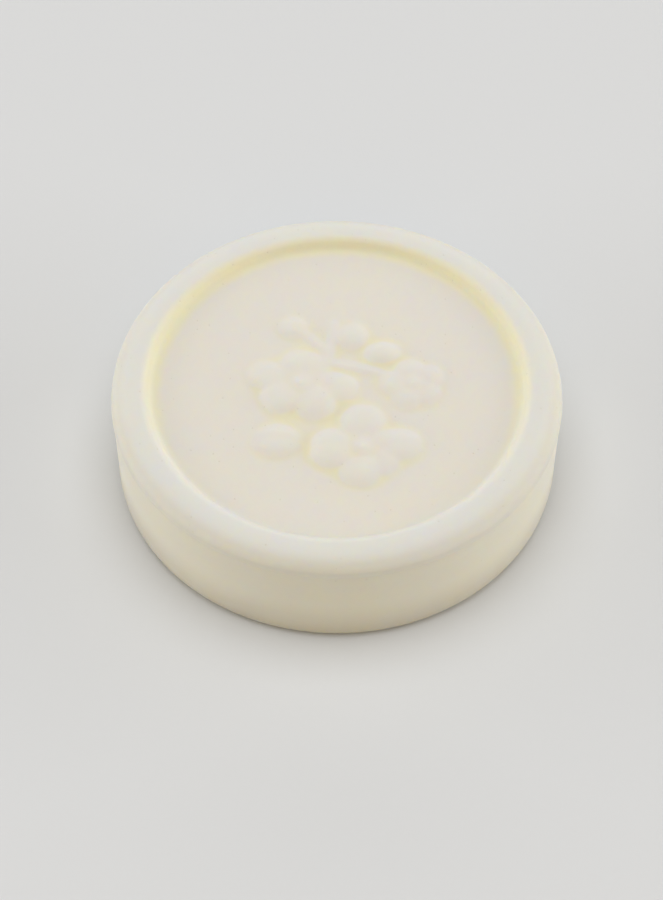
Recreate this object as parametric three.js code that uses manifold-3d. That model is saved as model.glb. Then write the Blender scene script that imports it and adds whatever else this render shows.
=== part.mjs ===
// A puck of hard shaving soap, pressed in one stroke from one billet.
// Flat underside, straight side, a fine parting line under the shoulder, a rounded rim, and a
// shallow round recess whose floor carries a low floral spray. Millimetres, +Z up, with the
// origin in the middle of the underside.

import * as THREE from 'three';
import { mergeVertices } from 'three/addons/utils/BufferGeometryUtils.js';
import Module from 'manifold-3d';

const wasm = await Module();
wasm.setup();

// ---------------------------------------------------------------------------------------------
// Driving dimensions
// ---------------------------------------------------------------------------------------------

// The cake itself
const puckDiameter = 65; // across the parting line, its widest place
const puckHeight = 18; // underside to the top of the rim
const baseEdgeRadius = 2.1;

// The parting line, where the two halves of the die meet
const partingProud = 0.12; // how far it stands out of the side
const partingHalfHeight = 0.22;
const shoulderHeight = 2.6; // parting line to the top of the rim
const shoulderWidth = 3.4;

// The rim and the recess
const rimWidth = 6.3; // side of the puck to the flat floor
const recessDepth = 1.6;
const rimInnerRadius = 1.5; // rounding of the rim's inner edge
const floorFillet = 0.9;
const wallLean = THREE.MathUtils.degToRad(30); // the recess wall, from upright

// The floral spray
const sprayMargin = 5; // clear floor between the spray and the recess wall
const reliefBelowRim = 0.35; // the rim stands this far over the tallest blossom
const petalOverlap = 0.9; // how far a petal goes on past its blossom's middle
const moundShare = 0.78; // width of the mound under a blossom, as a share of the blossom's
const moundRise = 0.5; // its height, as a share of the relief's
const heartRise = 0.6;
const stemDiameter = 1.5;
const stemSink = 0.3; // how far a stem's middle line lies below the floor
const rootDepth = 0.45; // how far each raised shape goes on below the floor

// Fineness of the faceted surfaces
const puckSegments = 84;
const petalSegments = 12;
const petalRings = 8;
const stemSides = 8;
const stemSteps = 7;

// ---------------------------------------------------------------------------------------------
// Derived sizes
// ---------------------------------------------------------------------------------------------

const sideRadius = puckDiameter / 2 - partingProud;
const partingHeight = puckHeight - shoulderHeight;
const floorHeight = puckHeight - recessDepth;
const floorRadius = sideRadius - rimWidth;
const reliefHeight = recessDepth - reliefBelowRim;

// The layout below is drawn on a circle of this radius and scaled to the floor that there is.
const layoutRadius = 21.4;
const layoutScale = (floorRadius - sprayMargin) / layoutRadius;

// Blossoms: the middle, the heart's radius, and for each petal its direction in degrees, its reach
// from the middle, its width, and the share of the relief's full height that it has.
const blossoms = [
  {
    x: 3.6,
    y: -11.4,
    heart: 1.0,
    petals: [
      { turn: 86, reach: 8.6, width: 7.6, rise: 0.8 },
      { turn: 178, reach: 7.9, width: 8.0, rise: 1.0 },
      { turn: 262, reach: 7.2, width: 7.0, rise: 0.9 },
      { turn: 318, reach: 6.6, width: 6.0, rise: 0.66 },
      { turn: 6, reach: 9.2, width: 6.6, rise: 0.86 },
    ],
  },
  {
    x: -5.1,
    y: 0.3,
    heart: 1.0,
    petals: [
      { turn: 352, reach: 8.9, width: 6.4, rise: 0.76 },
      { turn: 298, reach: 7.4, width: 7.2, rise: 0.98 },
      { turn: 215, reach: 7.2, width: 7.0, rise: 0.9 },
      { turn: 160, reach: 9.0, width: 6.4, rise: 0.7 },
      { turn: 82, reach: 7.0, width: 8.0, rise: 0.66 },
    ],
  },
  {
    x: 11.2,
    y: 0.3,
    heart: 0.75,
    petals: [
      { turn: 100, reach: 5.2, width: 5.4, rise: 0.6 },
      { turn: 172, reach: 5.4, width: 5.2, rise: 0.66 },
      { turn: 244, reach: 5.0, width: 5.2, rise: 0.66 },
      { turn: 316, reach: 5.0, width: 5.2, rise: 0.56 },
      { turn: 28, reach: 5.4, width: 5.4, rise: 0.6 },
    ],
  },
];

// Buds: middle, length, width and direction.
const buds = [
  { x: 2.3, y: 9.8, length: 6.8, width: 5.6, turn: 80, rise: 0.66 },
  { x: -6.8, y: 11.2, length: 5.6, width: 4.6, turn: 170, rise: 0.62 },
];

// Leaves: middle, length, width and direction.
const leaves = [
  { x: -9.0, y: -9.9, length: 10.4, width: 6.6, turn: 176, rise: 0.72 },
  { x: 6.9, y: 6.3, length: 8.2, width: 4.4, turn: 6, rise: 0.9 },
];

// Stems, each a smooth curve through three or four points.
const stems = [
  [[-0.5, 12.4], [-0.6, 9.4], [-0.9, 6.2], [-1.8, 3.6]],
  [[-5.2, 10.2], [-3.0, 8.4], [-1.0, 6.0]],
  [[8.2, 1.8], [5.4, 3.4], [2.4, 3.8], [-0.6, 4.4]],
];

// ---------------------------------------------------------------------------------------------
// Small helpers
// ---------------------------------------------------------------------------------------------

/** Points on an ellipse, from one angle to another in radians, both ends included. */
function ellipseArc(centre, radiusX, radiusY, from, to, steps) {
  const points = [];
  for (let i = 0; i <= steps; i += 1) {
    const angle = from + ((to - from) * i) / steps;
    const aside = radiusX * Math.cos(angle);
    const above = radiusY * Math.sin(angle);
    points.push(new THREE.Vector2(centre.x + aside, centre.y + above));
  }
  return points;
}

/** A closed geometry as a manifold solid. */
function toSolid(geometry) {
  const bare = geometry.clone();
  bare.deleteAttribute('normal');
  bare.deleteAttribute('uv');
  const merged = mergeVertices(bare);
  return new wasm.Manifold(new wasm.Mesh({
    numProp: 3,
    vertProperties: new Float32Array(merged.attributes.position.array),
    triVerts: new Uint32Array(merged.index.array),
  }));
}

/** A manifold solid as a geometry. */
function toGeometry(solid) {
  const mesh = solid.getMesh();
  const geometry = new THREE.BufferGeometry();
  geometry.setAttribute('position', new THREE.BufferAttribute(mesh.vertProperties, 3));
  geometry.setIndex(new THREE.BufferAttribute(mesh.triVerts, 1));
  geometry.computeVertexNormals();
  return geometry;
}

/** Scales a layout point to the floor of the recess. */
function onFloor(x, y, height = 0) {
  return new THREE.Vector3(x * layoutScale, y * layoutScale, floorHeight + height);
}

// ---------------------------------------------------------------------------------------------
// The cake: a turned profile from the middle of the underside to the middle of the floor
// ---------------------------------------------------------------------------------------------

function cakeProfile() {
  const baseEdge = new THREE.Vector2(sideRadius - baseEdgeRadius, baseEdgeRadius);
  // The wall touches the floor's fillet and the rim's inner rounding, which fixes where the
  // rounding is centred.
  const fillet = new THREE.Vector2(floorRadius, floorHeight + floorFillet);
  const rounding = rimInnerRadius + floorFillet;
  const wallRun = ((recessDepth - rounding) * Math.sin(wallLean) + rounding) / Math.cos(wallLean);
  const innerEdge = new THREE.Vector2(floorRadius + wallRun, puckHeight - rimInnerRadius);

  // The shoulder rounds the rest of the rim and stops where the inner rounding begins.
  const shoulderFoot = partingHeight + partingHalfHeight;
  const shoulderReach = Math.min(shoulderWidth, rimWidth - wallRun);
  const shoulder = new THREE.Vector2(sideRadius - shoulderReach, shoulderFoot);

  return [
    new THREE.Vector2(0, 0),
    ...ellipseArc(baseEdge, baseEdgeRadius, baseEdgeRadius, -Math.PI / 2, 0, 5),
    new THREE.Vector2(sideRadius, partingHeight - partingHalfHeight),
    new THREE.Vector2(sideRadius + partingProud, partingHeight),
    ...ellipseArc(shoulder, shoulderReach, puckHeight - shoulderFoot, 0, Math.PI / 2, 7),
    ...ellipseArc(innerEdge, rimInnerRadius, rimInnerRadius, Math.PI / 2, Math.PI - wallLean, 4),
    ...ellipseArc(fillet, floorFillet, floorFillet, -wallLean, -Math.PI / 2, 2),
    new THREE.Vector2(0, floorHeight),
  ];
}

function makeCake() {
  const turned = new THREE.LatheGeometry(cakeProfile(), puckSegments);
  turned.rotateX(Math.PI / 2);
  return toSolid(turned);
}

// ---------------------------------------------------------------------------------------------
// The relief's shapes, each a closed solid that stands on the floor and goes on a little below it
// ---------------------------------------------------------------------------------------------

/** A low dome, long in one direction: a petal, a bud, a mound or a blossom's heart. */
function makeDome(middle, length, width, turn, rise) {
  const dome = new THREE.SphereGeometry(0.5, petalSegments, petalRings);
  dome.rotateX(Math.PI / 2);
  dome.scale(length, width, 2 * (rise * reliefHeight + rootDepth));
  dome.rotateZ(turn);
  dome.translate(middle.x, middle.y, middle.z - rootDepth);
  return toSolid(dome);
}

/** A leaf: pointed at both ends, widest in the middle, with a rounded back. */
function makeLeaf({ x, y, length, width, turn, rise }) {
  const outline = [];
  const steps = 8;
  for (let i = 0; i <= steps; i += 1) {
    const along = i / steps;
    outline.push(new THREE.Vector2(Math.sin(Math.PI * along) * 0.5, along - 0.5));
  }
  outline[0].x = 0;
  outline[steps].x = 0;
  const leaf = new THREE.LatheGeometry(outline, petalSegments);
  leaf.rotateZ(-Math.PI / 2);
  leaf.scale(length * layoutScale, width * layoutScale, 2 * (rise * reliefHeight + rootDepth));
  leaf.rotateZ(THREE.MathUtils.degToRad(turn));
  const middle = onFloor(x, y, -rootDepth);
  leaf.translate(middle.x, middle.y, middle.z);
  return toSolid(leaf);
}

/** A stem: a round bead that follows a curve and lies more than half in the floor. */
function makeStem(points) {
  const path = new THREE.CatmullRomCurve3(points.map(([x, y]) => onFloor(x, y, -stemSink)));
  const section = new THREE.Shape();
  section.absarc(0, 0, stemDiameter / 2, 0, 2 * Math.PI);
  const stem = new THREE.ExtrudeGeometry(section, {
    steps: stemSteps,
    curveSegments: stemSides,
    bevelEnabled: false,
    extrudePath: path,
  });
  return toSolid(stem);
}

/** Petals round a heart, on a low mound. */
function makeBlossom({ x, y, heart, petals }) {
  const middle = onFloor(x, y);
  const meanReach = petals.reduce((sum, petal) => sum + petal.reach, 0) / petals.length;
  const spread = 2 * moundShare * meanReach * layoutScale;
  const heartWidth = 2 * heart * layoutScale;
  const raised = [
    makeDome(middle, spread, spread, 0, moundRise),
    makeDome(middle, heartWidth, heartWidth, 0, heartRise),
  ];
  for (const { turn, reach, width, rise } of petals) {
    const angle = THREE.MathUtils.degToRad(turn);
    const length = reach + petalOverlap;
    const out = reach - length / 2;
    const petalMiddle = onFloor(x + out * Math.cos(angle), y + out * Math.sin(angle));
    raised.push(makeDome(petalMiddle, length * layoutScale, width * layoutScale, angle, rise));
  }
  return raised;
}

function makeBud({ x, y, length, width, turn, rise }) {
  const angle = THREE.MathUtils.degToRad(turn);
  return makeDome(onFloor(x, y), length * layoutScale, width * layoutScale, angle, rise);
}

// ---------------------------------------------------------------------------------------------
// The puck: cake and relief are one body of soap
// ---------------------------------------------------------------------------------------------

function makePuck() {
  const raised = [
    ...blossoms.flatMap(makeBlossom),
    ...buds.map(makeBud),
    ...leaves.map(makeLeaf),
    ...stems.map(makeStem),
  ];
  const solid = raised.reduce((whole, shape) => whole.add(shape), makeCake());
  const soap = new THREE.MeshStandardMaterial({ color: 0xf1e9d2, roughness: 0.5, metalness: 0 });
  const mesh = new THREE.Mesh(toGeometry(solid), soap);
  mesh.name = 'soap_puck';
  return mesh;
}

const group = new THREE.Group();
group.add(makePuck());

export default group;
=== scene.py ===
"""A puck of hard shaving soap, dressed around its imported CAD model.

The cake is turned from one profile, its recess is filled with an even grid, and the floral spray is
modelled as a set of loose petals, leaves, buds and stems that the floor of the recess is then
pressed up against, as a die does it. Lengths are in metres.
"""

from __future__ import annotations

import logging
import math
from dataclasses import dataclass
from enum import Enum
from typing import Callable, Sequence

import bmesh
import bpy
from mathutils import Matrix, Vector

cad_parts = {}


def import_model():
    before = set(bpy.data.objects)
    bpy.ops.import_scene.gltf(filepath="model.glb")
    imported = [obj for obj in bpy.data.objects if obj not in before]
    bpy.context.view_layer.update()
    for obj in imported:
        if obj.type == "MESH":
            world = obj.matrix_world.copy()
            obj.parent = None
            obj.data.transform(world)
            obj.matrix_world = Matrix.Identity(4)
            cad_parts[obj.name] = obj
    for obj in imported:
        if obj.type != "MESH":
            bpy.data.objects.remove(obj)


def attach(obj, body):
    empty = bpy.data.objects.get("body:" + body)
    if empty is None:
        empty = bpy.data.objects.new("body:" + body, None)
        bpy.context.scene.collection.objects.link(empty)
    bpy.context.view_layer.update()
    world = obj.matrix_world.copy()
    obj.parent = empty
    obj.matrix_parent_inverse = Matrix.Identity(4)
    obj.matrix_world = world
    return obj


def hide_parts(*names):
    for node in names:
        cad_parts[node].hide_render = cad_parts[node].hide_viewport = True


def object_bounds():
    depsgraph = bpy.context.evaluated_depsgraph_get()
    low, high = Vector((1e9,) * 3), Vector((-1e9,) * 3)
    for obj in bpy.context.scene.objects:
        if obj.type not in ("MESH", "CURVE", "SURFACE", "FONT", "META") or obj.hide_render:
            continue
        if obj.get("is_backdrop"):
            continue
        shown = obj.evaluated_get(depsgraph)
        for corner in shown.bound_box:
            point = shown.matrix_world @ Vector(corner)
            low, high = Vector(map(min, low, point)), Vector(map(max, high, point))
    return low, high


LOG = logging.getLogger("soap_puck")
MM = 0.001
FULL_TURN = 2.0 * math.pi
UP = Vector((0.0, 0.0, 1.0))
SAME_POINT = 0.001 * MM
SAME_HEIGHT = 0.01 * MM
SMOOTHING = 0.5
NODE_SPACING = 220

Point = tuple[float, float]
Rgba = tuple[float, float, float, float]


# ---------------------------------------------------------------------------------------------
# Working in Blender as by hand
# ---------------------------------------------------------------------------------------------


class Place(Enum):
    """Which of an object's elements a selection picks."""

    VERTICES = "VERT"
    EDGES = "EDGE"
    FACES = "FACE"


def activate(piece: bpy.types.Object) -> None:
    """Makes a piece the only selected object and the active one.

    Args:
        piece: The object to work on next.
    """
    if bpy.context.object is not None and bpy.context.object.mode != "OBJECT":
        bpy.ops.object.mode_set(mode="OBJECT")
    bpy.ops.object.select_all(action="DESELECT")
    piece.select_set(True)
    bpy.context.view_layer.objects.active = piece


def edit(piece: bpy.types.Object, place: Place = Place.VERTICES) -> None:
    """Opens a piece in edit mode with nothing selected.

    Args:
        piece: The object to open.
        place: The kind of element that is selected next.
    """
    activate(piece)
    bpy.ops.object.mode_set(mode="EDIT")
    bpy.ops.mesh.select_mode(type=place.value)
    bpy.ops.mesh.select_all(action="DESELECT")


def pick_vertices(piece: bpy.types.Object, wanted: Callable[[Vector], bool]) -> int:
    """Selects the vertices of a piece in edit mode by their place.

    Args:
        piece: The object that is open in edit mode.
        wanted: Says whether a vertex at this place is picked.

    Returns:
        How many vertices were picked.
    """
    bpy.ops.mesh.select_all(action="DESELECT")
    mesh = bmesh.from_edit_mesh(piece.data)
    for vertex in mesh.verts:
        vertex.select_set(wanted(vertex.co))
    mesh.select_flush(True)
    bmesh.update_edit_mesh(piece.data)
    return sum(1 for vertex in mesh.verts if vertex.select)


def pick_edges(piece: bpy.types.Object, wanted: Callable[[bmesh.types.BMEdge], bool]) -> int:
    """Selects the edges of a piece in edit mode.

    Args:
        piece: The object that is open in edit mode.
        wanted: Says whether an edge is picked.

    Returns:
        How many edges were picked.
    """
    bpy.ops.mesh.select_all(action="DESELECT")
    mesh = bmesh.from_edit_mesh(piece.data)
    for edge in filter(wanted, mesh.edges):
        edge.select_set(True)
    bmesh.update_edit_mesh(piece.data)
    return sum(1 for edge in mesh.edges if edge.select)


def close_edit() -> None:
    """Leaves edit mode."""
    bpy.ops.object.mode_set(mode="OBJECT")


def apply_modifier(piece: bpy.types.Object, kind: str, **settings: object) -> None:
    """Adds one modifier to a piece and applies it.

    Args:
        piece: The object to change.
        kind: Blender's name of the modifier's type.
        **settings: The modifier's own settings.
    """
    activate(piece)
    modifier = piece.modifiers.new(kind.lower(), kind)
    for name, value in settings.items():
        setattr(modifier, name, value)
    bpy.ops.object.modifier_apply(modifier=modifier.name)


def copy_of(piece: bpy.types.Object) -> bpy.types.Object:
    """Copies a piece.

    Args:
        piece: The object to copy.

    Returns:
        The copy, which has a mesh of its own.
    """
    activate(piece)
    bpy.ops.object.duplicate(linked=False)
    return bpy.context.active_object


def settle(piece: bpy.types.Object) -> None:
    """Moves a piece's place, turn and scale into its mesh.

    Args:
        piece: The object to settle.
    """
    activate(piece)
    bpy.ops.object.transform_apply(location=True, rotation=True, scale=True)


def join(pieces: Sequence[bpy.types.Object], name: str) -> bpy.types.Object:
    """Joins pieces into one object.

    Args:
        pieces: The objects to join.
        name: The name of the joined object.

    Returns:
        The joined object.
    """
    activate(pieces[0])
    for piece in pieces:
        piece.select_set(True)
    bpy.ops.object.join()
    joined = bpy.context.active_object
    joined.name = name
    return joined


def ellipse_arc(centre: Point, radii: Point, start: float, end: float, steps: int) -> list[Point]:
    """Points on an ellipse.

    Args:
        centre: The ellipse's centre, as radius and height.
        radii: Its half-width and half-height.
        start: The first point's angle.
        end: The last point's angle.
        steps: How many steps lie between them.

    Returns:
        The points, both ends included.
    """
    angles = [start + (end - start) * i / steps for i in range(steps + 1)]
    return [(centre[0] + radii[0] * math.cos(a), centre[1] + radii[1] * math.sin(a)) for a in angles]


# ---------------------------------------------------------------------------------------------
# The cake of soap
# ---------------------------------------------------------------------------------------------


@dataclass
class Cake:
    """The turned body of the puck: side, parting line, rim and recess."""

    radius: float
    height: float
    base_edge_radius: float = 2.1 * MM
    parting_proud: float = 0.12 * MM
    parting_half_height: float = 0.4 * MM
    bead_share: float = 0.35  # of its proudness, between its middle and its edges
    bead_place: float = 0.55  # where that is, as a share of its half height
    shoulder_height: float = 2.6 * MM
    shoulder_width: float = 3.4 * MM
    rim_width: float = 6.3 * MM
    recess_depth: float = 1.6 * MM
    rim_inner_radius: float = 1.5 * MM
    floor_fillet: float = 0.9 * MM
    wall_lean: float = math.radians(30.0)
    segments: int = 720
    base_edge_steps: int = 7
    side_steps: int = 9
    shoulder_steps: int = 12
    inner_edge_steps: int = 7
    fillet_steps: int = 4
    base_rings: int = 3

    @property
    def side_radius(self) -> float:
        """The side's own radius, inside the parting line."""
        return self.radius - self.parting_proud

    @property
    def floor_height(self) -> float:
        """The height of the recess floor."""
        return self.height - self.recess_depth

    @property
    def floor_radius(self) -> float:
        """The radius of the flat part of the recess floor."""
        return self.side_radius - self.rim_width

    def profile(self) -> list[Point]:
        """Draws half a section of the cake.

        Returns:
            Radius and height of each point, from the underside's edge to the floor's edge.
        """
        base_centre = (self.side_radius - self.base_edge_radius, self.base_edge_radius)
        base_radii = (self.base_edge_radius,) * 2
        base_edge = ellipse_arc(base_centre, base_radii, -math.pi / 2, 0.0, self.base_edge_steps)

        parting = self.height - self.shoulder_height
        low, high = parting - self.parting_half_height, parting + self.parting_half_height
        span = low - self.base_edge_radius
        side = [
            (self.side_radius, self.base_edge_radius + span * i / self.side_steps)
            for i in range(1, self.side_steps + 1)
        ]
        slope = self.side_radius + self.bead_share * self.parting_proud
        reach = self.bead_place * self.parting_half_height
        crest = (self.side_radius + self.parting_proud, parting)
        bead = [(slope, parting - reach), crest, (slope, parting + reach)]
        shoulder = ellipse_arc(
            (self.side_radius - self.shoulder_width, high),
            (self.shoulder_width, self.height - high),
            0.0,
            math.pi / 2,
            self.shoulder_steps,
        )

        rounding = self.rim_inner_radius + self.floor_fillet
        drop = (self.recess_depth - rounding) * math.sin(self.wall_lean) + rounding
        run = drop / math.cos(self.wall_lean)
        inner_edge = ellipse_arc(
            (self.floor_radius + run, self.height - self.rim_inner_radius),
            (self.rim_inner_radius,) * 2,
            math.pi / 2,
            math.pi - self.wall_lean,
            self.inner_edge_steps,
        )
        fillet = ellipse_arc(
            (self.floor_radius, self.floor_height + self.floor_fillet),
            (self.floor_fillet,) * 2,
            -self.wall_lean,
            -math.pi / 2,
            self.fillet_steps,
        )
        return [*base_edge, *side, *bead, *shoulder, *inner_edge, *fillet]

    def turn(self) -> bpy.types.Object:
        """Draws the profile by extrusion and spins it.

        Returns:
            The turned wall, open at the underside and at the floor.
        """
        points = self.profile()
        bpy.ops.mesh.primitive_plane_add(size=MM, location=(0.0, 0.0, 0.0))
        cake = bpy.context.active_object
        cake.name = "soap_puck_body"
        edit(cake)
        bpy.ops.mesh.select_all(action="SELECT")
        bpy.ops.mesh.merge(type="CENTER")
        bpy.ops.transform.translate(value=(points[0][0], 0.0, points[0][1]))
        for (last_r, last_z), (next_r, next_z) in zip(points, points[1:]):
            move = {"value": (next_r - last_r, 0.0, next_z - last_z)}
            bpy.ops.mesh.extrude_region_move(TRANSFORM_OT_translate=move)
        bpy.ops.mesh.select_all(action="SELECT")
        bpy.ops.mesh.spin(
            steps=self.segments,
            angle=FULL_TURN,
            center=(0.0, 0.0, 0.0),
            axis=(0.0, 0.0, 1.0),
            use_auto_merge=True,
        )
        bpy.ops.mesh.select_all(action="SELECT")
        bpy.ops.mesh.remove_doubles(threshold=SAME_POINT)
        return cake

    def fill_floor(self, cake: bpy.types.Object) -> None:
        """Fills the recess with an even grid.

        Args:
            cake: The turned wall, open in edit mode.
        """
        bpy.ops.mesh.select_mode(type=Place.EDGES.value)
        floor_height = self.floor_height
        pick_edges(
            cake,
            lambda edge: edge.is_boundary
            and all(abs(v.co.z - floor_height) < SAME_HEIGHT for v in edge.verts),
        )
        bpy.ops.mesh.fill_grid(span=self.segments // 4, offset=0, use_interp_simple=True)

    def close_base(self, cake: bpy.types.Object) -> None:
        """Closes the underside with a few rings and a flat middle.

        Args:
            cake: The turned wall, open in edit mode.
        """
        pick_edges(cake, lambda edge: edge.is_boundary)
        bpy.ops.mesh.edge_face_add()
        bpy.ops.mesh.select_mode(type=Place.FACES.value)
        ring = (self.side_radius - self.base_edge_radius) / (self.base_rings + 1)
        for _ in range(self.base_rings):
            bpy.ops.mesh.inset(thickness=ring)
        bpy.ops.mesh.poke()

    def build(self) -> bpy.types.Object:
        """Models the whole cake with a plain floor.

        Returns:
            The cake, closed and facing outwards.
        """
        cake = self.turn()
        self.fill_floor(cake)
        self.close_base(cake)
        bpy.ops.mesh.select_all(action="SELECT")
        bpy.ops.mesh.normals_make_consistent(inside=False)
        close_edit()
        settle(cake)
        return cake


# ---------------------------------------------------------------------------------------------
# The floral spray
# ---------------------------------------------------------------------------------------------


@dataclass(frozen=True)
class Petal:
    """One petal, as its blossom's middle sees it."""

    turn: float
    reach: float
    width: float
    rise: float


@dataclass(frozen=True)
class Blossom:
    """An open flower, on the spray's layout."""

    place: Point
    heart_radius: float
    petals: tuple[Petal, ...]


@dataclass(frozen=True)
class Sprig:
    """A leaf or a bud, on the spray's layout."""

    place: Point
    length: float
    width: float
    turn: float
    rise: float


@dataclass(frozen=True)
class Stem:
    """A stem, on the spray's layout."""

    path: tuple[Point, ...]
    diameter: float = 1.5


class Outline(Enum):
    """How wide a long dome is along its length: how far its widest place leans, how slim its ends."""

    PETAL = (1.15, 0.45)
    LEAF = (0.9, 1.05)
    BUD = (0.8, 0.75)

    def share(self, along: float) -> float:
        """The width at one place, as a share of the greatest width.

        Args:
            along: The place, from the base at 0 to the tip at 1.

        Returns:
            The share, which is 0 at both ends.
        """
        lean, slimness = self.value
        return math.sin(math.pi * along**lean) ** slimness

    def lift(self, along: float) -> float:
        """The height at one place, as a share of a plain dome's there.

        Args:
            along: The place, from the base at 0 to the tip at 1.

        Returns:
            The share. A petal is low at its base, so a blossom's middle is sunk.
        """
        return 0.7 + 0.3 * min(1.0, along / 0.65) if self is Outline.PETAL else 1.0


@dataclass
class Spray:
    """Petals, leaves, buds and stems, modelled loose and then made one shape."""

    unit_rings = 20
    unit_segments = 32
    mound_rings = 24
    mound_segments = 48
    heart_rings = 12
    heart_segments = 20
    stamen_rings = 8
    stamen_segments = 12
    ring_width = 0.002  # how near a unit dome's vertices lie to their ring
    groove_width = 0.01  # the vertices along a unit dome's middle line
    groove_above = 0.02
    groove_spread = 0.16
    tip_start = 0.48
    notch_spread = 0.24

    floor_height: float
    scale: float
    relief_height: float
    root_depth: float = 0.45 * MM
    petal_overlap: float = 0.9
    petal_tilt: float = math.radians(3.0)
    stem_sink: float = 0.3 * MM
    heart_rise: float = 0.42
    heart_share: float = 0.8
    stamen_ring: float = 1.25
    mound_share: float = 0.78
    mound_rise: float = 0.5
    stamen_share: float = 0.36
    stamens: int = 7
    voxel: float = 0.2 * MM
    softening: int = 10

    blossoms: tuple[Blossom, ...] = (
        Blossom(
            (3.6, -11.4),
            1.0,
            (
                Petal(86.0, 8.6, 7.6, 0.8),
                Petal(178.0, 7.9, 8.0, 1.0),
                Petal(262.0, 7.2, 7.0, 0.9),
                Petal(318.0, 6.6, 6.0, 0.66),
                Petal(6.0, 9.2, 6.6, 0.86),
            ),
        ),
        Blossom(
            (-5.1, 0.3),
            1.0,
            (
                Petal(352.0, 8.9, 6.4, 0.76),
                Petal(298.0, 7.4, 7.2, 0.98),
                Petal(215.0, 7.2, 7.0, 0.9),
                Petal(160.0, 9.0, 6.4, 0.7),
                Petal(82.0, 7.0, 8.0, 0.66),
            ),
        ),
        Blossom(
            (11.2, 0.3),
            0.75,
            (
                Petal(100.0, 5.2, 5.4, 0.6),
                Petal(172.0, 5.4, 5.2, 0.66),
                Petal(244.0, 5.0, 5.2, 0.66),
                Petal(316.0, 5.0, 5.2, 0.56),
                Petal(28.0, 5.4, 5.4, 0.6),
            ),
        ),
    )
    buds: tuple[Sprig, ...] = (
        Sprig((2.3, 9.8), 6.8, 5.6, 80.0, 0.66),
        Sprig((-6.8, 11.2), 5.6, 4.6, 170.0, 0.62),
    )
    leaves: tuple[Sprig, ...] = (
        Sprig((-9.0, -9.9), 10.4, 6.6, 176.0, 0.72),
        Sprig((6.9, 6.3), 8.2, 4.4, 6.0, 0.9),
    )
    stems: tuple[Stem, ...] = (
        Stem(((-0.5, 12.4), (-0.6, 9.4), (-0.9, 6.2), (-1.8, 3.6))),
        Stem(((-5.2, 10.2), (-3.0, 8.4), (-1.0, 6.0))),
        Stem(((8.2, 1.8), (5.4, 3.4), (2.4, 3.8), (-0.6, 4.4))),
    )

    def on_floor(self, place: Point) -> Vector:
        """Turns a layout place into a point on the recess floor."""
        return Vector((place[0] * MM * self.scale, place[1] * MM * self.scale, self.floor_height))

    def long_dome(self, outline: Outline, groove: float, notch: float) -> bpy.types.Object:
        """Models a unit dome that lies along X: a sphere with its sections resized in turn.

        Args:
            outline: How wide it is along its length.
            groove: How deep its middle line is pressed, as a share of its height.
            notch: How far its tip is pulled back, as a share of its length.

        Returns:
            The dome, one unit long, wide and high, about the origin.
        """
        rings = self.unit_rings
        bpy.ops.mesh.primitive_uv_sphere_add(segments=self.unit_segments, ring_count=rings, radius=0.5)
        dome = bpy.context.active_object
        edit(dome)
        bpy.ops.mesh.select_all(action="SELECT")
        bpy.ops.transform.rotate(value=math.pi / 2, orient_axis="Y", center_override=(0.0, 0.0, 0.0))
        for ring in range(1, rings):
            station = 0.5 * math.cos(math.pi * ring / rings)
            round_width = math.sqrt(0.25 - station * station)
            widen = 0.5 * outline.share(station + 0.5) / round_width
            pick_vertices(dome, lambda co: abs(co.x - station) < self.ring_width)
            lift = outline.lift(station + 0.5) * min(1.0, widen)
            bpy.ops.transform.resize(value=(1.0, widen, lift), center_override=(station, 0.0, 0.0))
        if groove:
            pick_vertices(dome, lambda co: abs(co.y) < self.groove_width and co.z > self.groove_above)
            bpy.ops.transform.translate(
                value=(0.0, 0.0, -groove),
                use_proportional_edit=True,
                proportional_edit_falloff="SMOOTH",
                proportional_size=self.groove_spread,
            )
        if notch:
            pick_vertices(dome, lambda co: co.x > self.tip_start)
            bpy.ops.transform.translate(
                value=(-notch, 0.0, 0.0),
                use_proportional_edit=True,
                proportional_edit_falloff="SMOOTH",
                proportional_size=self.notch_spread,
            )
        close_edit()
        return dome

    def lay(self, dome: bpy.types.Object, sprig: Sprig, tilt: float = 0.0) -> bpy.types.Object:
        """Sizes, turns and sinks a copy of a unit dome into the floor.

        Args:
            dome: The unit dome.
            sprig: Where it lies and how large it is.
            tilt: How far it leans about its own length.

        Returns:
            The copy, in place.
        """
        piece = copy_of(dome)
        height = 2.0 * (sprig.rise * self.relief_height + self.root_depth)
        piece.scale = (sprig.length * MM * self.scale, sprig.width * MM * self.scale, height)
        settle(piece)
        piece.rotation_euler = (tilt, 0.0, math.radians(sprig.turn))
        piece.location = self.on_floor(sprig.place) - UP * self.root_depth
        settle(piece)
        return piece

    def open_blossom(self, unit: bpy.types.Object, blossom: Blossom) -> list[bpy.types.Object]:
        """Lays a blossom's petals round its heart.

        Args:
            unit: The unit petal.
            blossom: The blossom.

        Returns:
            The petals, the heart and its stamens.
        """
        pieces = self.heart(blossom)
        pieces.append(self.mound(blossom))
        for petal in blossom.petals:
            angle = math.radians(petal.turn)
            length = petal.reach + self.petal_overlap
            out = petal.reach - length / 2.0
            place = (blossom.place[0] + out * math.cos(angle), blossom.place[1] + out * math.sin(angle))
            sprig = Sprig(place, length, petal.width, petal.turn, petal.rise)
            pieces.append(self.lay(unit, sprig, self.petal_tilt))
        return pieces

    def mound(self, blossom: Blossom) -> bpy.types.Object:
        """Models the low mound that a blossom's petals lie on.

        Args:
            blossom: The blossom.

        Returns:
            The mound.
        """
        spread = 2.0 * self.mound_share * sum(petal.reach for petal in blossom.petals) / len(blossom.petals)
        bpy.ops.mesh.primitive_uv_sphere_add(
            segments=self.mound_segments,
            ring_count=self.mound_rings,
            radius=0.5,
        )
        dome = bpy.context.active_object
        mound = self.lay(dome, Sprig(blossom.place, spread, spread, 0.0, self.mound_rise))
        bpy.data.objects.remove(dome)
        return mound

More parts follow.
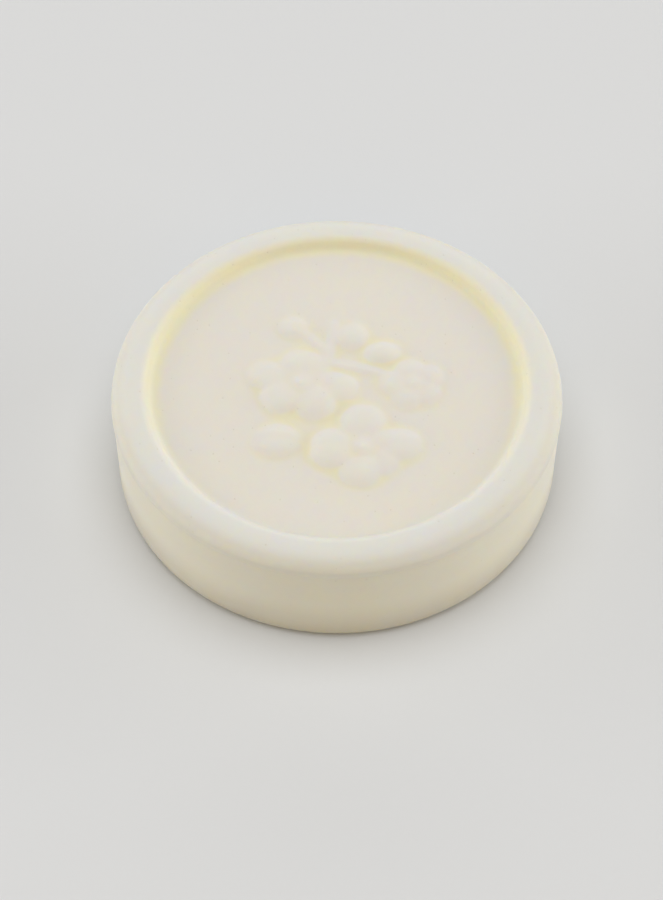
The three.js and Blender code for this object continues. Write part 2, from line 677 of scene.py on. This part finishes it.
    def heart(self, blossom: Blossom) -> list[bpy.types.Object]:
        """Models a blossom's middle: a low dome in a ring of stamens.

        Args:
            blossom: The blossom.

        Returns:
            The dome and the stamens.
        """
        radius = blossom.heart_radius * MM * self.scale
        middle = self.on_floor(blossom.place) + UP * (self.heart_rise * self.relief_height)
        bpy.ops.mesh.primitive_uv_sphere_add(
            segments=self.heart_segments,
            ring_count=self.heart_rings,
            radius=self.heart_share * radius,
            location=middle,
        )
        pieces = [bpy.context.active_object]
        for i in range(self.stamens):
            angle = FULL_TURN * i / self.stamens
            aside = Vector((math.cos(angle), math.sin(angle), 0.0)) * (self.stamen_ring * radius)
            bpy.ops.mesh.primitive_uv_sphere_add(
                segments=self.stamen_segments,
                ring_count=self.stamen_rings,
                radius=self.stamen_share * radius,
                location=middle + aside,
            )
            pieces.append(bpy.context.active_object)
        for piece in pieces:
            settle(piece)
        return pieces

    def draw_stem(self, stem: Stem) -> bpy.types.Object:
        """Models a stem as a round bead along a smooth path.

        Args:
            stem: The stem's path and diameter.

        Returns:
            The stem as a closed mesh.
        """
        bpy.ops.object.select_all(action="DESELECT")
        bpy.ops.curve.primitive_nurbs_path_add(radius=MM)
        bead = bpy.context.active_object
        spline = bead.data.splines[0]
        spline.points.add(max(0, len(stem.path) - len(spline.points)))
        places = [self.on_floor(place) - UP * self.stem_sink for place in stem.path]
        while len(places) < len(spline.points):
            places.append(places[-1])
        for point, place in zip(spline.points, places):
            point.co = (*place, 1.0)
        spline.use_endpoint_u = True
        bead.data.bevel_depth = stem.diameter * MM * self.scale / 2.0
        bead.data.use_fill_caps = True
        activate(bead)
        bpy.ops.object.convert(target="MESH")
        settle(bead)
        return bead

    def build(self) -> bpy.types.Object:
        """Models every piece of the spray and makes them one closed shape.

        Returns:
            The spray, which goes on a little below the floor.
        """
        petal = self.long_dome(Outline.PETAL, groove=0.04, notch=0.05)
        leaf = self.long_dome(Outline.LEAF, groove=0.08, notch=0.0)
        bud = self.long_dome(Outline.BUD, groove=0.04, notch=0.0)
        pieces = [piece for blossom in self.blossoms for piece in self.open_blossom(petal, blossom)]
        pieces.extend(self.lay(bud, sprig) for sprig in self.buds)
        pieces.extend(self.lay(leaf, sprig) for sprig in self.leaves)
        pieces.extend(self.draw_stem(stem) for stem in self.stems)
        for unit in (petal, leaf, bud):
            bpy.data.objects.remove(unit)
        spray = join(pieces, "spray")
        apply_modifier(spray, "REMESH", mode="VOXEL", voxel_size=self.voxel)
        apply_modifier(spray, "SMOOTH", factor=SMOOTHING, iterations=self.softening)
        return spray


# ---------------------------------------------------------------------------------------------
# The puck: cake and spray pressed into one piece
# ---------------------------------------------------------------------------------------------


@dataclass
class Puck:
    """The finished puck of soap."""

    cake: Cake
    relief_below_rim: float = 0.35 * MM
    spray_margin: float = 5.0 * MM
    layout_radius: float = 21.4 * MM
    press_margin: float = 1.2 * MM
    press_softening: int = 30
    hollow_reach: int = 120
    hollow_depth: float = 0.16 * MM
    wear_depth: float = 0.07 * MM
    wear_size: float = 11.0 * MM

    def spray(self) -> Spray:
        """Fits the spray to the recess floor."""
        return Spray(
            floor_height=self.cake.floor_height,
            scale=(self.cake.floor_radius - self.spray_margin) / self.layout_radius,
            relief_height=self.cake.recess_depth - self.relief_below_rim,
        )

    def mark_floor(self, puck: bpy.types.Object) -> None:
        """Groups the vertices of the recess floor that the die can raise.

        Args:
            puck: The cake.
        """
        floor_height = self.cake.floor_height
        reach = self.cake.floor_radius - self.press_margin
        edit(puck)
        pick_vertices(puck, lambda co: abs(co.z - floor_height) < SAME_HEIGHT and co.xy.length < reach)
        bpy.ops.object.vertex_group_add()
        bpy.ops.object.vertex_group_assign()
        close_edit()
        puck.vertex_groups.active.name = "pressed"

    def press(self, puck: bpy.types.Object, spray: bpy.types.Object) -> None:
        """Raises the recess floor up to the spray and softens the result.

        Args:
            puck: The cake, with its floor grouped.
            spray: The spray's closed shape.
        """
        apply_modifier(
            puck,
            "SHRINKWRAP",
            target=spray,
            wrap_method="PROJECT",
            use_project_z=True,
            use_positive_direction=True,
            use_negative_direction=False,
            project_limit=2.0 * self.cake.recess_depth,
            vertex_group="pressed",
        )
        apply_modifier(
            puck,
            "SMOOTH",
            factor=SMOOTHING,
            iterations=self.press_softening,
            vertex_group="pressed",
        )

    def wear(self, puck: bpy.types.Object) -> None:
        """Takes a little off everywhere but the underside, so that no face is quite true.

        Args:
            puck: The pressed puck.
        """
        clouds = bpy.data.textures.new("handling", "CLOUDS")
        clouds.noise_scale = self.wear_size
        edit(puck)
        pick_vertices(puck, lambda co: co.z > self.cake.base_edge_radius)
        bpy.ops.object.vertex_group_add()
        bpy.ops.object.vertex_group_assign()
        close_edit()
        puck.vertex_groups.active.name = "worn"
        apply_modifier(
            puck,
            "DISPLACE",
            texture=clouds,
            texture_coords="LOCAL",
            strength=self.wear_depth,
            mid_level=1.0,
            vertex_group="worn",
        )

    def mark_hollows(self, puck: bpy.types.Object) -> None:
        """Stores how far each place lies above or below its surroundings, from -1 to 1.

        Args:
            puck: The pressed puck.
        """
        smoothed = copy_of(puck)
        apply_modifier(smoothed, "SMOOTH", factor=SMOOTHING, iterations=self.hollow_reach)
        mark = puck.data.attributes.new("relief", "FLOAT", "POINT")
        for at, here, there in zip(mark.data, puck.data.vertices, smoothed.data.vertices):
            proud = (here.co - there.co).dot(here.normal) / self.hollow_depth
            at.value = max(-1.0, min(1.0, proud))
        bpy.data.objects.remove(smoothed)

    def build(self) -> bpy.types.Object:
        """Models the puck.

        Returns:
            The puck, as one closed mesh.
        """
        puck = self.cake.build()
        spray = self.spray().build()
        self.mark_floor(puck)
        self.press(puck, spray)
        bpy.data.objects.remove(spray)
        self.wear(puck)
        self.mark_hollows(puck)
        activate(puck)
        bpy.ops.object.shade_smooth()
        puck.name = "pressed_soap"
        return puck


# ---------------------------------------------------------------------------------------------
# Finishes
# ---------------------------------------------------------------------------------------------


@dataclass(frozen=True)
class Fade:
    """A mask that goes softly from one value to another between two places."""

    start: float
    end: float
    low: float = 0.0
    high: float = 1.0


class Wires:
    """A node tree that is wired up by name."""

    def __init__(self, tree: bpy.types.NodeTree) -> None:
        """Takes the tree to work in."""
        self.tree = tree
        self.column = 0

    def add(self, kind: str, **settings: object) -> bpy.types.Node:
        """Adds a node.

        Args:
            kind: Blender's name of the node's type.
            **settings: The node's own settings.

        Returns:
            The node.
        """
        node = self.tree.nodes.new(kind)
        node.location = (NODE_SPACING * self.column, 0)
        self.column += 1
        for name, value in settings.items():
            setattr(node, name, value)
        return node

    def link(self, source: bpy.types.NodeSocket, target: bpy.types.NodeSocket) -> None:
        """Wires one socket to another."""
        self.tree.links.new(source, target)

    def blend(self, mask: bpy.types.NodeSocket, low: object, high: object) -> bpy.types.NodeSocket:
        """Mixes two colours by a mask.

        Args:
            mask: The socket of the mask.
            low: The colour, or the socket of the colour, where the mask is 0.
            high: The colour, or the socket of the colour, where the mask is 1.

        Returns:
            The socket of the mixed colour.
        """
        mix = self.add("ShaderNodeMix", data_type="RGBA")
        self.link(mask, mix.inputs["Factor"])
        for socket, value in ((mix.inputs[6], low), (mix.inputs[7], high)):
            if isinstance(value, bpy.types.NodeSocket):
                self.link(value, socket)
            else:
                socket.default_value = value
        return mix.outputs[2]

    def product(self, first: bpy.types.NodeSocket, second: bpy.types.NodeSocket) -> bpy.types.NodeSocket:
        """Multiplies two masks."""
        node = self.add("ShaderNodeMath", operation="MULTIPLY")
        self.link(first, node.inputs[0])
        self.link(second, node.inputs[1])
        return node.outputs[0]

    def span(self, value: bpy.types.NodeSocket, source: Point, target: Point) -> bpy.types.NodeSocket:
        """Maps a value from one range to another, and clamps it there.

        Args:
            value: The socket of the value.
            source: The range that it comes from.
            target: The range that it is mapped to.

        Returns:
            The socket of the mapped value.
        """
        node = self.add("ShaderNodeMapRange", interpolation_type="SMOOTHSTEP")
        self.link(value, node.inputs["Value"])
        ends = (*source, *target)
        for name, end in zip(("From Min", "From Max", "To Min", "To Max"), ends):
            node.inputs[name].default_value = end
        return node.outputs["Result"]

    def fade(self, value: bpy.types.NodeSocket, fade: Fade, origin: float = 0.0) -> bpy.types.NodeSocket:
        """Makes a mask.

        Args:
            value: The socket of the value that it goes by.
            fade: Where it starts and ends, and its values there.
            origin: What the fade's places are measured from.

        Returns:
            The socket of the mask.
        """
        return self.span(value, (origin + fade.start, origin + fade.end), (fade.low, fade.high))


def grain_group() -> bpy.types.NodeTree:
    """Makes the fine grain that soap and paper share.

    Returns:
        A group with the grain's size, contrast and stretch along X as inputs, its value as output.
    """
    group = bpy.data.node_groups.new("fine_grain", "ShaderNodeTree")
    middle, detail, roughness = 0.5, 3.0, 0.55
    for name, default in (("Size", MM), ("Contrast", 0.5), ("Stretch", 1.0)):
        socket = group.interface.new_socket(name=name, in_out="INPUT", socket_type="NodeSocketFloat")
        socket.default_value = default
    group.interface.new_socket(name="Value", in_out="OUTPUT", socket_type="NodeSocketFloat")
    wires = Wires(group)
    inputs = wires.add("NodeGroupInput")
    place = wires.add("ShaderNodeTexCoord")
    inverse = wires.add("ShaderNodeMath", operation="DIVIDE")
    inverse.inputs[0].default_value = 1.0
    wires.link(inputs.outputs["Size"], inverse.inputs[1])
    squeeze = wires.add("ShaderNodeMath", operation="DIVIDE")
    squeeze.inputs[0].default_value = 1.0
    wires.link(inputs.outputs["Stretch"], squeeze.inputs[1])
    shape = wires.add("ShaderNodeCombineXYZ")
    shape.inputs["Y"].default_value = 1.0
    shape.inputs["Z"].default_value = 1.0
    wires.link(squeeze.outputs[0], shape.inputs["X"])
    stretched = wires.add("ShaderNodeVectorMath", operation="MULTIPLY")
    wires.link(place.outputs["Object"], stretched.inputs[0])
    wires.link(shape.outputs[0], stretched.inputs[1])
    noise = wires.add("ShaderNodeTexNoise", noise_dimensions="3D")
    noise.inputs["Detail"].default_value = detail
    noise.inputs["Roughness"].default_value = roughness
    wires.link(stretched.outputs[0], noise.inputs["Vector"])
    wires.link(inverse.outputs[0], noise.inputs["Scale"])
    centred = wires.add("ShaderNodeMath", operation="SUBTRACT")
    centred.inputs[1].default_value = middle
    wires.link(noise.outputs["Fac"], centred.inputs[0])
    scaled = wires.add("ShaderNodeMath", operation="MULTIPLY_ADD")
    scaled.inputs[2].default_value = middle
    wires.link(centred.outputs[0], scaled.inputs[0])
    wires.link(inputs.outputs["Contrast"], scaled.inputs[1])
    outputs = wires.add("NodeGroupOutput")
    wires.link(scaled.outputs[0], outputs.inputs["Value"])
    return group


def add_grain(wires: Wires, size: float, contrast: float, stretch: float = 1.0) -> bpy.types.NodeSocket:
    """Places the fine grain in a material.

    Args:
        wires: The material's node tree.
        size: The size of its cells.
        contrast: How strong it is.
        stretch: How much longer its cells are along X.

    Returns:
        The socket of the grain's value, about 0.5.
    """
    node = wires.add("ShaderNodeGroup")
    node.node_tree = bpy.data.node_groups.get("fine_grain") or grain_group()
    node.inputs["Size"].default_value = size
    node.inputs["Contrast"].default_value = contrast
    node.inputs["Stretch"].default_value = stretch
    return node.outputs["Value"]


@dataclass(frozen=True)
class SoapFinish:
    """Ivory milled soap: waxy, a little translucent, with painted highlight on its rim and relief tops, and
    painted shade on its side, foot, shoulder, recess wall, creases and pits.
    """

    name: str = "ivory_soap"
    body: Rgba = (0.752, 0.736, 0.695, 1.0)
    # Pale, less yellow tone: painted highlight on the rim and on the raised tops of the relief, and also
    # the colour of the pale streaks.
    streak_and_highlight_tone: Rgba = (0.722, 0.737, 0.724, 1.0)
    # Yellower, darker tone of the side: painted shade on the flank below the shoulder.
    side: Rgba = (0.748, 0.725, 0.612, 1.0)
    # Darker tone: painted shade, darker towards the bottom of the side.
    foot: Rgba = (0.575, 0.54, 0.452, 1.0)
    # Greyer tone: painted shade on the shoulder just below the rim's top.
    shoulder_shade: Rgba = (0.655, 0.65, 0.605, 1.0)
    # Yellow tone: painted shade in the relief's creases and on the recess wall, and also the colour of the
    # random mottle.
    hollow: Rgba = (0.82, 0.785, 0.485, 1.0)
    # Dark tone: painted contact shadow along the bottom edge where the puck stands.
    contact_shadow_tone: Rgba = (0.40, 0.365, 0.27, 1.0)
    cloud_size: float = 9.0 * MM
    cloud_contrast: float = 1.6
    streak_contrast: float = 1.5
    grain_size: float = 0.35 * MM
    streak_size: float = 2.6 * MM
    streak_stretch: float = 7.0
    pit_spacing: float = 1.9 * MM
    pit_radius: float = 0.09
    roughness: Point = (0.56, 0.7)
    specular: float = 0.12
    glow: float = 1.0
    glow_radius: tuple[float, float, float] = (1.0, 0.75, 0.4)
    glow_depth: float = 1.3 * MM
    grain_height: float = 0.012 * MM
    pit_depth: float = 0.03 * MM
    index: float = 1.46

    # Outwards from the edge of the recess floor.
    rim_fade: Fade = Fade(0.5 * MM, 2.1 * MM)
    # wall_foot_fade and wall_top_fade place a band of painted shade on the recess wall.
    wall_foot_fade: Fade = Fade(-1.4 * MM, 0.3 * MM)
    wall_top_fade: Fade = Fade(0.7 * MM, 2.4 * MM, 0.6, 0.0)
    floor_fade: Fade = Fade(-3.0 * MM, -1.4 * MM, 1.0, 0.0)
    # Along Y, from the puck's middle.
    # Painted shade: the band on the recess wall is strongest towards +Y.
    far_wall_shade_fade: Fade = Fade(-23.0 * MM, 5.0 * MM, 0.1, 1.0)
    # By how proud of its surroundings a place is.
    # proud_fade paints a highlight on the raised tops of the relief.
    proud_fade: Fade = Fade(0.0, 0.9, 0.0, 0.5)
    # crease_fade paints shade into the relief's creases.
    crease_fade: Fade = Fade(-1.0, -0.12, 0.5, 0.0)
    # Up from the underside.
    # foot_fade paints the side darker towards the underside, as painted shade.
    foot_fade: Fade = Fade(0.5 * MM, 9.0 * MM, 1.0, 0.0)
    # Painted contact shadow in the lowest few millimetres.
    contact_shadow_fade: Fade = Fade(0.2 * MM, 3.2 * MM, 0.5, 0.0)
    # Up from the top of the rim.
    # flank_fade places the painted shade on the side.
    flank_fade: Fade = Fade(-2.0 * MM, 0.0, 1.0, 0.0)
    # edge_foot_fade and edge_top_fade place the painted shade on the shoulder.
    edge_foot_fade: Fade = Fade(-3.0 * MM, -2.2 * MM, 0.0, 0.7)
    edge_top_fade: Fade = Fade(-0.8 * MM, -0.1 * MM, 1.0, 0.0)
    # By the value of a pattern.
    mottle_fade: Fade = Fade(0.2, 0.8, 0.0, 0.10)
    streak_fade: Fade = Fade(0.3, 0.75, 0.0, 0.12)
    pit_fade: Fade = Fade(0.0, 1.0, 0.3, 0.0)

    def material(self, floor_radius: float, rim_height: float) -> bpy.types.Material:
        """Makes the soap.

        Args:
            floor_radius: Where the recess floor ends and its wall begins.
            rim_height: The height of the rim's top.

        Returns:
            The material.
        """
        material = bpy.data.materials.new(self.name)
        material.use_nodes = True
        wires = Wires(material.node_tree)
        shader = material.node_tree.nodes["Principled BSDF"]
        place = wires.add("ShaderNodeTexCoord")

        clouds = add_grain(wires, self.cloud_size, self.cloud_contrast)
        relief = wires.add("ShaderNodeAttribute", attribute_name="relief")
        apart = wires.add("ShaderNodeSeparateXYZ")
        wires.link(place.outputs["Object"], apart.inputs[0])
        flat = wires.add("ShaderNodeVectorMath", operation="MULTIPLY")
        flat.inputs[1].default_value = (1.0, 1.0, 0.0)
        wires.link(place.outputs["Object"], flat.inputs[0])
        out = wires.add("ShaderNodeVectorMath", operation="LENGTH")
        wires.link(flat.outputs[0], out.inputs[0])

        radius, height = out.outputs["Value"], apart.outputs["Z"]
        outside = wires.fade(radius, self.rim_fade, floor_radius)
        # Painted shade: a yellow band on the recess wall, strongest towards +Y.
        wall_foot = wires.fade(radius, self.wall_foot_fade, floor_radius)
        wall_top = wires.fade(radius, self.wall_top_fade, floor_radius)
        far_wall_shade = wires.fade(apart.outputs["Y"], self.far_wall_shade_fade)
        wall = wires.product(wires.product(wall_foot, wall_top), far_wall_shade)
        proud = wires.fade(relief.outputs["Fac"], self.proud_fade)
        # Painted highlight: the rim and the proud tops of the relief are paler.
        painted_highlight_mask = wires.add("ShaderNodeMath", operation="MAXIMUM")
        wires.link(outside, painted_highlight_mask.inputs[0])
        wires.link(proud, painted_highlight_mask.inputs[1])
        # Painted shade: the side below the rim takes the darker, yellower side tone.
        flank = wires.product(outside, wires.fade(height, self.flank_fade, rim_height))
        # Painted shade: the side grows darker towards the underside.
        foot = wires.fade(height, self.foot_fade)
        # Painted shade: the creases of the relief on the floor turn yellow.
        crease = wires.fade(relief.outputs["Fac"], self.crease_fade)
        inside = wires.fade(radius, self.floor_fade, floor_radius)
        sunk = wires.add("ShaderNodeMath", operation="MAXIMUM")
        wires.link(wires.product(crease, inside), sunk.inputs[0])
        wires.link(wall, sunk.inputs[1])

        # Painted contact shadow at the bottom edge.
        contact_shadow = wires.fade(height, self.contact_shadow_fade)
        lower = wires.blend(foot, self.side, self.foot)
        lower = wires.blend(contact_shadow, lower, self.contact_shadow_tone)
        colour = wires.blend(painted_highlight_mask.outputs[0], self.body, self.streak_and_highlight_tone)
        colour = wires.blend(flank, colour, lower)
        # Painted shade: a band on the shoulder just below the rim's top.
        edge_foot = wires.fade(height, self.edge_foot_fade, rim_height)
        edge_top = wires.fade(height, self.edge_top_fade, rim_height)
        shoulder_shade = wires.product(wires.product(edge_foot, edge_top), outside)
        colour = wires.blend(shoulder_shade, colour, self.shoulder_shade)
        colour = wires.blend(sunk.outputs[0], colour, self.hollow)
        colour = wires.blend(wires.fade(clouds, self.mottle_fade), colour, self.hollow)
        streaks = add_grain(wires, self.streak_size, self.streak_contrast, self.streak_stretch)
        colour = wires.blend(wires.fade(streaks, self.streak_fade), colour, self.streak_and_highlight_tone)
        pits = self.pits(wires, place.outputs["Object"])
        # Painted shade: the pits are darkened with the side's dark shade tone.
        colour = wires.blend(wires.fade(pits, self.pit_fade), colour, self.foot)
        wires.link(colour, shader.inputs["Base Color"])

        mottled = (self.mottle_fade.start, self.mottle_fade.end)
        gloss = wires.span(clouds, mottled, self.roughness)
        wires.link(gloss, shader.inputs["Roughness"])
        grain_bump = wires.add("ShaderNodeBump")
        grain_bump.inputs["Strength"].default_value = 1.0
        grain_bump.inputs["Distance"].default_value = self.grain_height
        wires.link(add_grain(wires, self.grain_size, 1.0), grain_bump.inputs["Height"])
        pit_bump = wires.add("ShaderNodeBump")
        pit_bump.inputs["Strength"].default_value = 1.0
        pit_bump.inputs["Distance"].default_value = self.pit_depth
        wires.link(pits, pit_bump.inputs["Height"])
        wires.link(grain_bump.outputs["Normal"], pit_bump.inputs["Normal"])
        wires.link(pit_bump.outputs["Normal"], shader.inputs["Normal"])

        shader.inputs["IOR"].default_value = self.index
        shader.inputs["Specular IOR Level"].default_value = self.specular
        shader.inputs["Subsurface Weight"].default_value = self.glow
        shader.inputs["Subsurface Radius"].default_value = self.glow_radius
        shader.inputs["Subsurface Scale"].default_value = self.glow_depth
        return material

    def pits(self, wires: Wires, place: bpy.types.NodeSocket) -> bpy.types.NodeSocket:
        """Scatters tiny pits, where air was caught against the die.

        Args:
            wires: The material's node tree.
            place: The socket of the object's coordinates.

        Returns:
            The socket of a mask that is 0 in the middle of a pit and 1 off the pits.
        """
        cells = wires.add("ShaderNodeTexVoronoi", feature="F1")
        cells.inputs["Scale"].default_value = 1.0 / self.pit_spacing
        wires.link(place, cells.inputs["Vector"])
        return wires.span(cells.outputs["Distance"], (0.4 * self.pit_radius, self.pit_radius), (0.0, 1.0))


@dataclass(frozen=True)
class PaperFinish:
    """Plain pale studio paper."""

    name: str = "studio_paper"
    colour: Rgba = (0.687, 0.712, 0.738, 1.0)
    shade: Rgba = (0.678, 0.703, 0.729, 1.0)
    grain_size: float = 0.8 * MM
    roughness: float = 0.85
    specular: float = 0.2

    def material(self) -> bpy.types.Material:
        """Makes the paper.

        Returns:
            The material.
        """
        material = bpy.data.materials.new(self.name)
        material.use_nodes = True
        wires = Wires(material.node_tree)
        shader = material.node_tree.nodes["Principled BSDF"]
        colour = wires.blend(add_grain(wires, self.grain_size, 1.0), self.colour, self.shade)
        wires.link(colour, shader.inputs["Base Color"])
        shader.inputs["Roughness"].default_value = self.roughness
        shader.inputs["Specular IOR Level"].default_value = self.specular
        return material


# ---------------------------------------------------------------------------------------------
# The studio
# ---------------------------------------------------------------------------------------------


@dataclass(frozen=True)
class Softbox:
    """One soft area light that faces the puck."""

    name: str
    place: tuple[float, float, float]
    size: Point
    power: float
    colour: tuple[float, float, float] = (1.0, 1.0, 1.0)

    def build(self, aim: Vector) -> None:
        """Hangs the light.

        Args:
            aim: The point that it faces.
        """
        bpy.ops.object.light_add(type="AREA", location=self.place)
        light = bpy.context.active_object
        light.name = self.name
        light.data.shape = "RECTANGLE"
        light.data.size, light.data.size_y = self.size
        light.data.energy = self.power
        light.data.color = self.colour
        light.rotation_euler = (aim - light.location).to_track_quat("-Z", "Y").to_euler()


@dataclass(frozen=True)
class Studio:
    """The floor, the lights and the camera."""

    radius: float
    camera_elevation: float = math.radians(53.06)
    camera_distance: float = 10.15
    lens: float = 88.1
    nearest: float = 0.01
    aim_left: float = 0.0235
    aim_up: float = 0.0230
    floor_size: float = 6.0
    sky: tuple[float, float, float] = (1.0, 0.94, 0.88)
    sky_strength: float = 0.25
    softboxes: tuple[Softbox, ...] = (
        Softbox("overhead_softbox", (0.0, 0.0, 3.0), (3.0, 3.0), 56.5),
        Softbox("left_softbox", (-2.7, 0.0, 0.7), (3.0, 1.0), 32.5),
        Softbox("right_softbox", (2.7, 0.0, 0.7), (3.0, 1.0), 35.2),
        Softbox("rear_softbox", (0.0, 2.7, 0.75), (3.2, 1.2), 14.5),
        Softbox("front_softbox", (0.0, -2.4, 1.9), (3.0, 2.0), 12.5, (1.0, 0.62, 0.12)),
    )

    def lay_floor(self) -> bpy.types.Object:
        """Lays the pale floor.

        Returns:
            The floor.
        """
        bpy.ops.object.select_all(action="DESELECT")
        bpy.ops.mesh.primitive_grid_add(x_subdivisions=4, y_subdivisions=4, size=self.floor_size)
        floor = bpy.context.active_object
        floor.name = "studio_floor"
        floor.data.materials.append(PaperFinish().material())
        floor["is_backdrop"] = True
        return floor

    def light(self) -> None:
        """Sets the sky and hangs the softboxes."""
        world = bpy.data.worlds.new("studio_sky")
        world.use_nodes = True
        sky = world.node_tree.nodes["Background"]
        sky.inputs["Color"].default_value = (*self.sky, 1.0)
        sky.inputs["Strength"].default_value = self.sky_strength
        bpy.context.scene.world = world
        for softbox in self.softboxes:
            softbox.build(Vector((0.0, 0.0, 0.0)))

    def set_camera(self) -> None:
        """Sets the camera in front of the puck, looking down on it."""
        away = Vector((0.0, -math.cos(self.camera_elevation), math.sin(self.camera_elevation)))
        up = Vector((0.0, math.sin(self.camera_elevation), math.cos(self.camera_elevation)))
        aside = Vector((-self.aim_left, 0.0, 0.0)) + up * self.aim_up
        bpy.ops.object.camera_add(location=(away * self.camera_distance + aside) * self.radius)
        camera = bpy.context.active_object
        camera.name = "studio_camera"
        camera.rotation_mode = "QUATERNION"
        camera.rotation_quaternion = (-away).to_track_quat("-Z", "Y")
        camera.data.lens = self.lens
        camera.data.clip_start = self.nearest
        bpy.context.scene.camera = camera

    def build(self) -> None:
        """Builds the whole studio."""
        self.lay_floor()
        self.light()
        self.set_camera()
        bpy.context.scene.view_settings.view_transform = "Standard"


def main() -> None:
    """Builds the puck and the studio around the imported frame."""
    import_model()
    cad_low, cad_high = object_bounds()
    cake = Cake(radius=(cad_high.x - cad_low.x) / 2.0, height=cad_high.z - cad_low.z)
    puck = Puck(cake).build()
    puck.data.materials.clear()
    puck.data.materials.append(SoapFinish().material(cake.floor_radius, cake.height))
    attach(puck, "root")
    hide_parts("soap_puck")
    LOG.info("%s: %d faces", puck.name, len(puck.data.polygons))

    Studio(cake.radius).build()


if __name__ == "__main__":
    logging.basicConfig(level=logging.INFO)
    main()
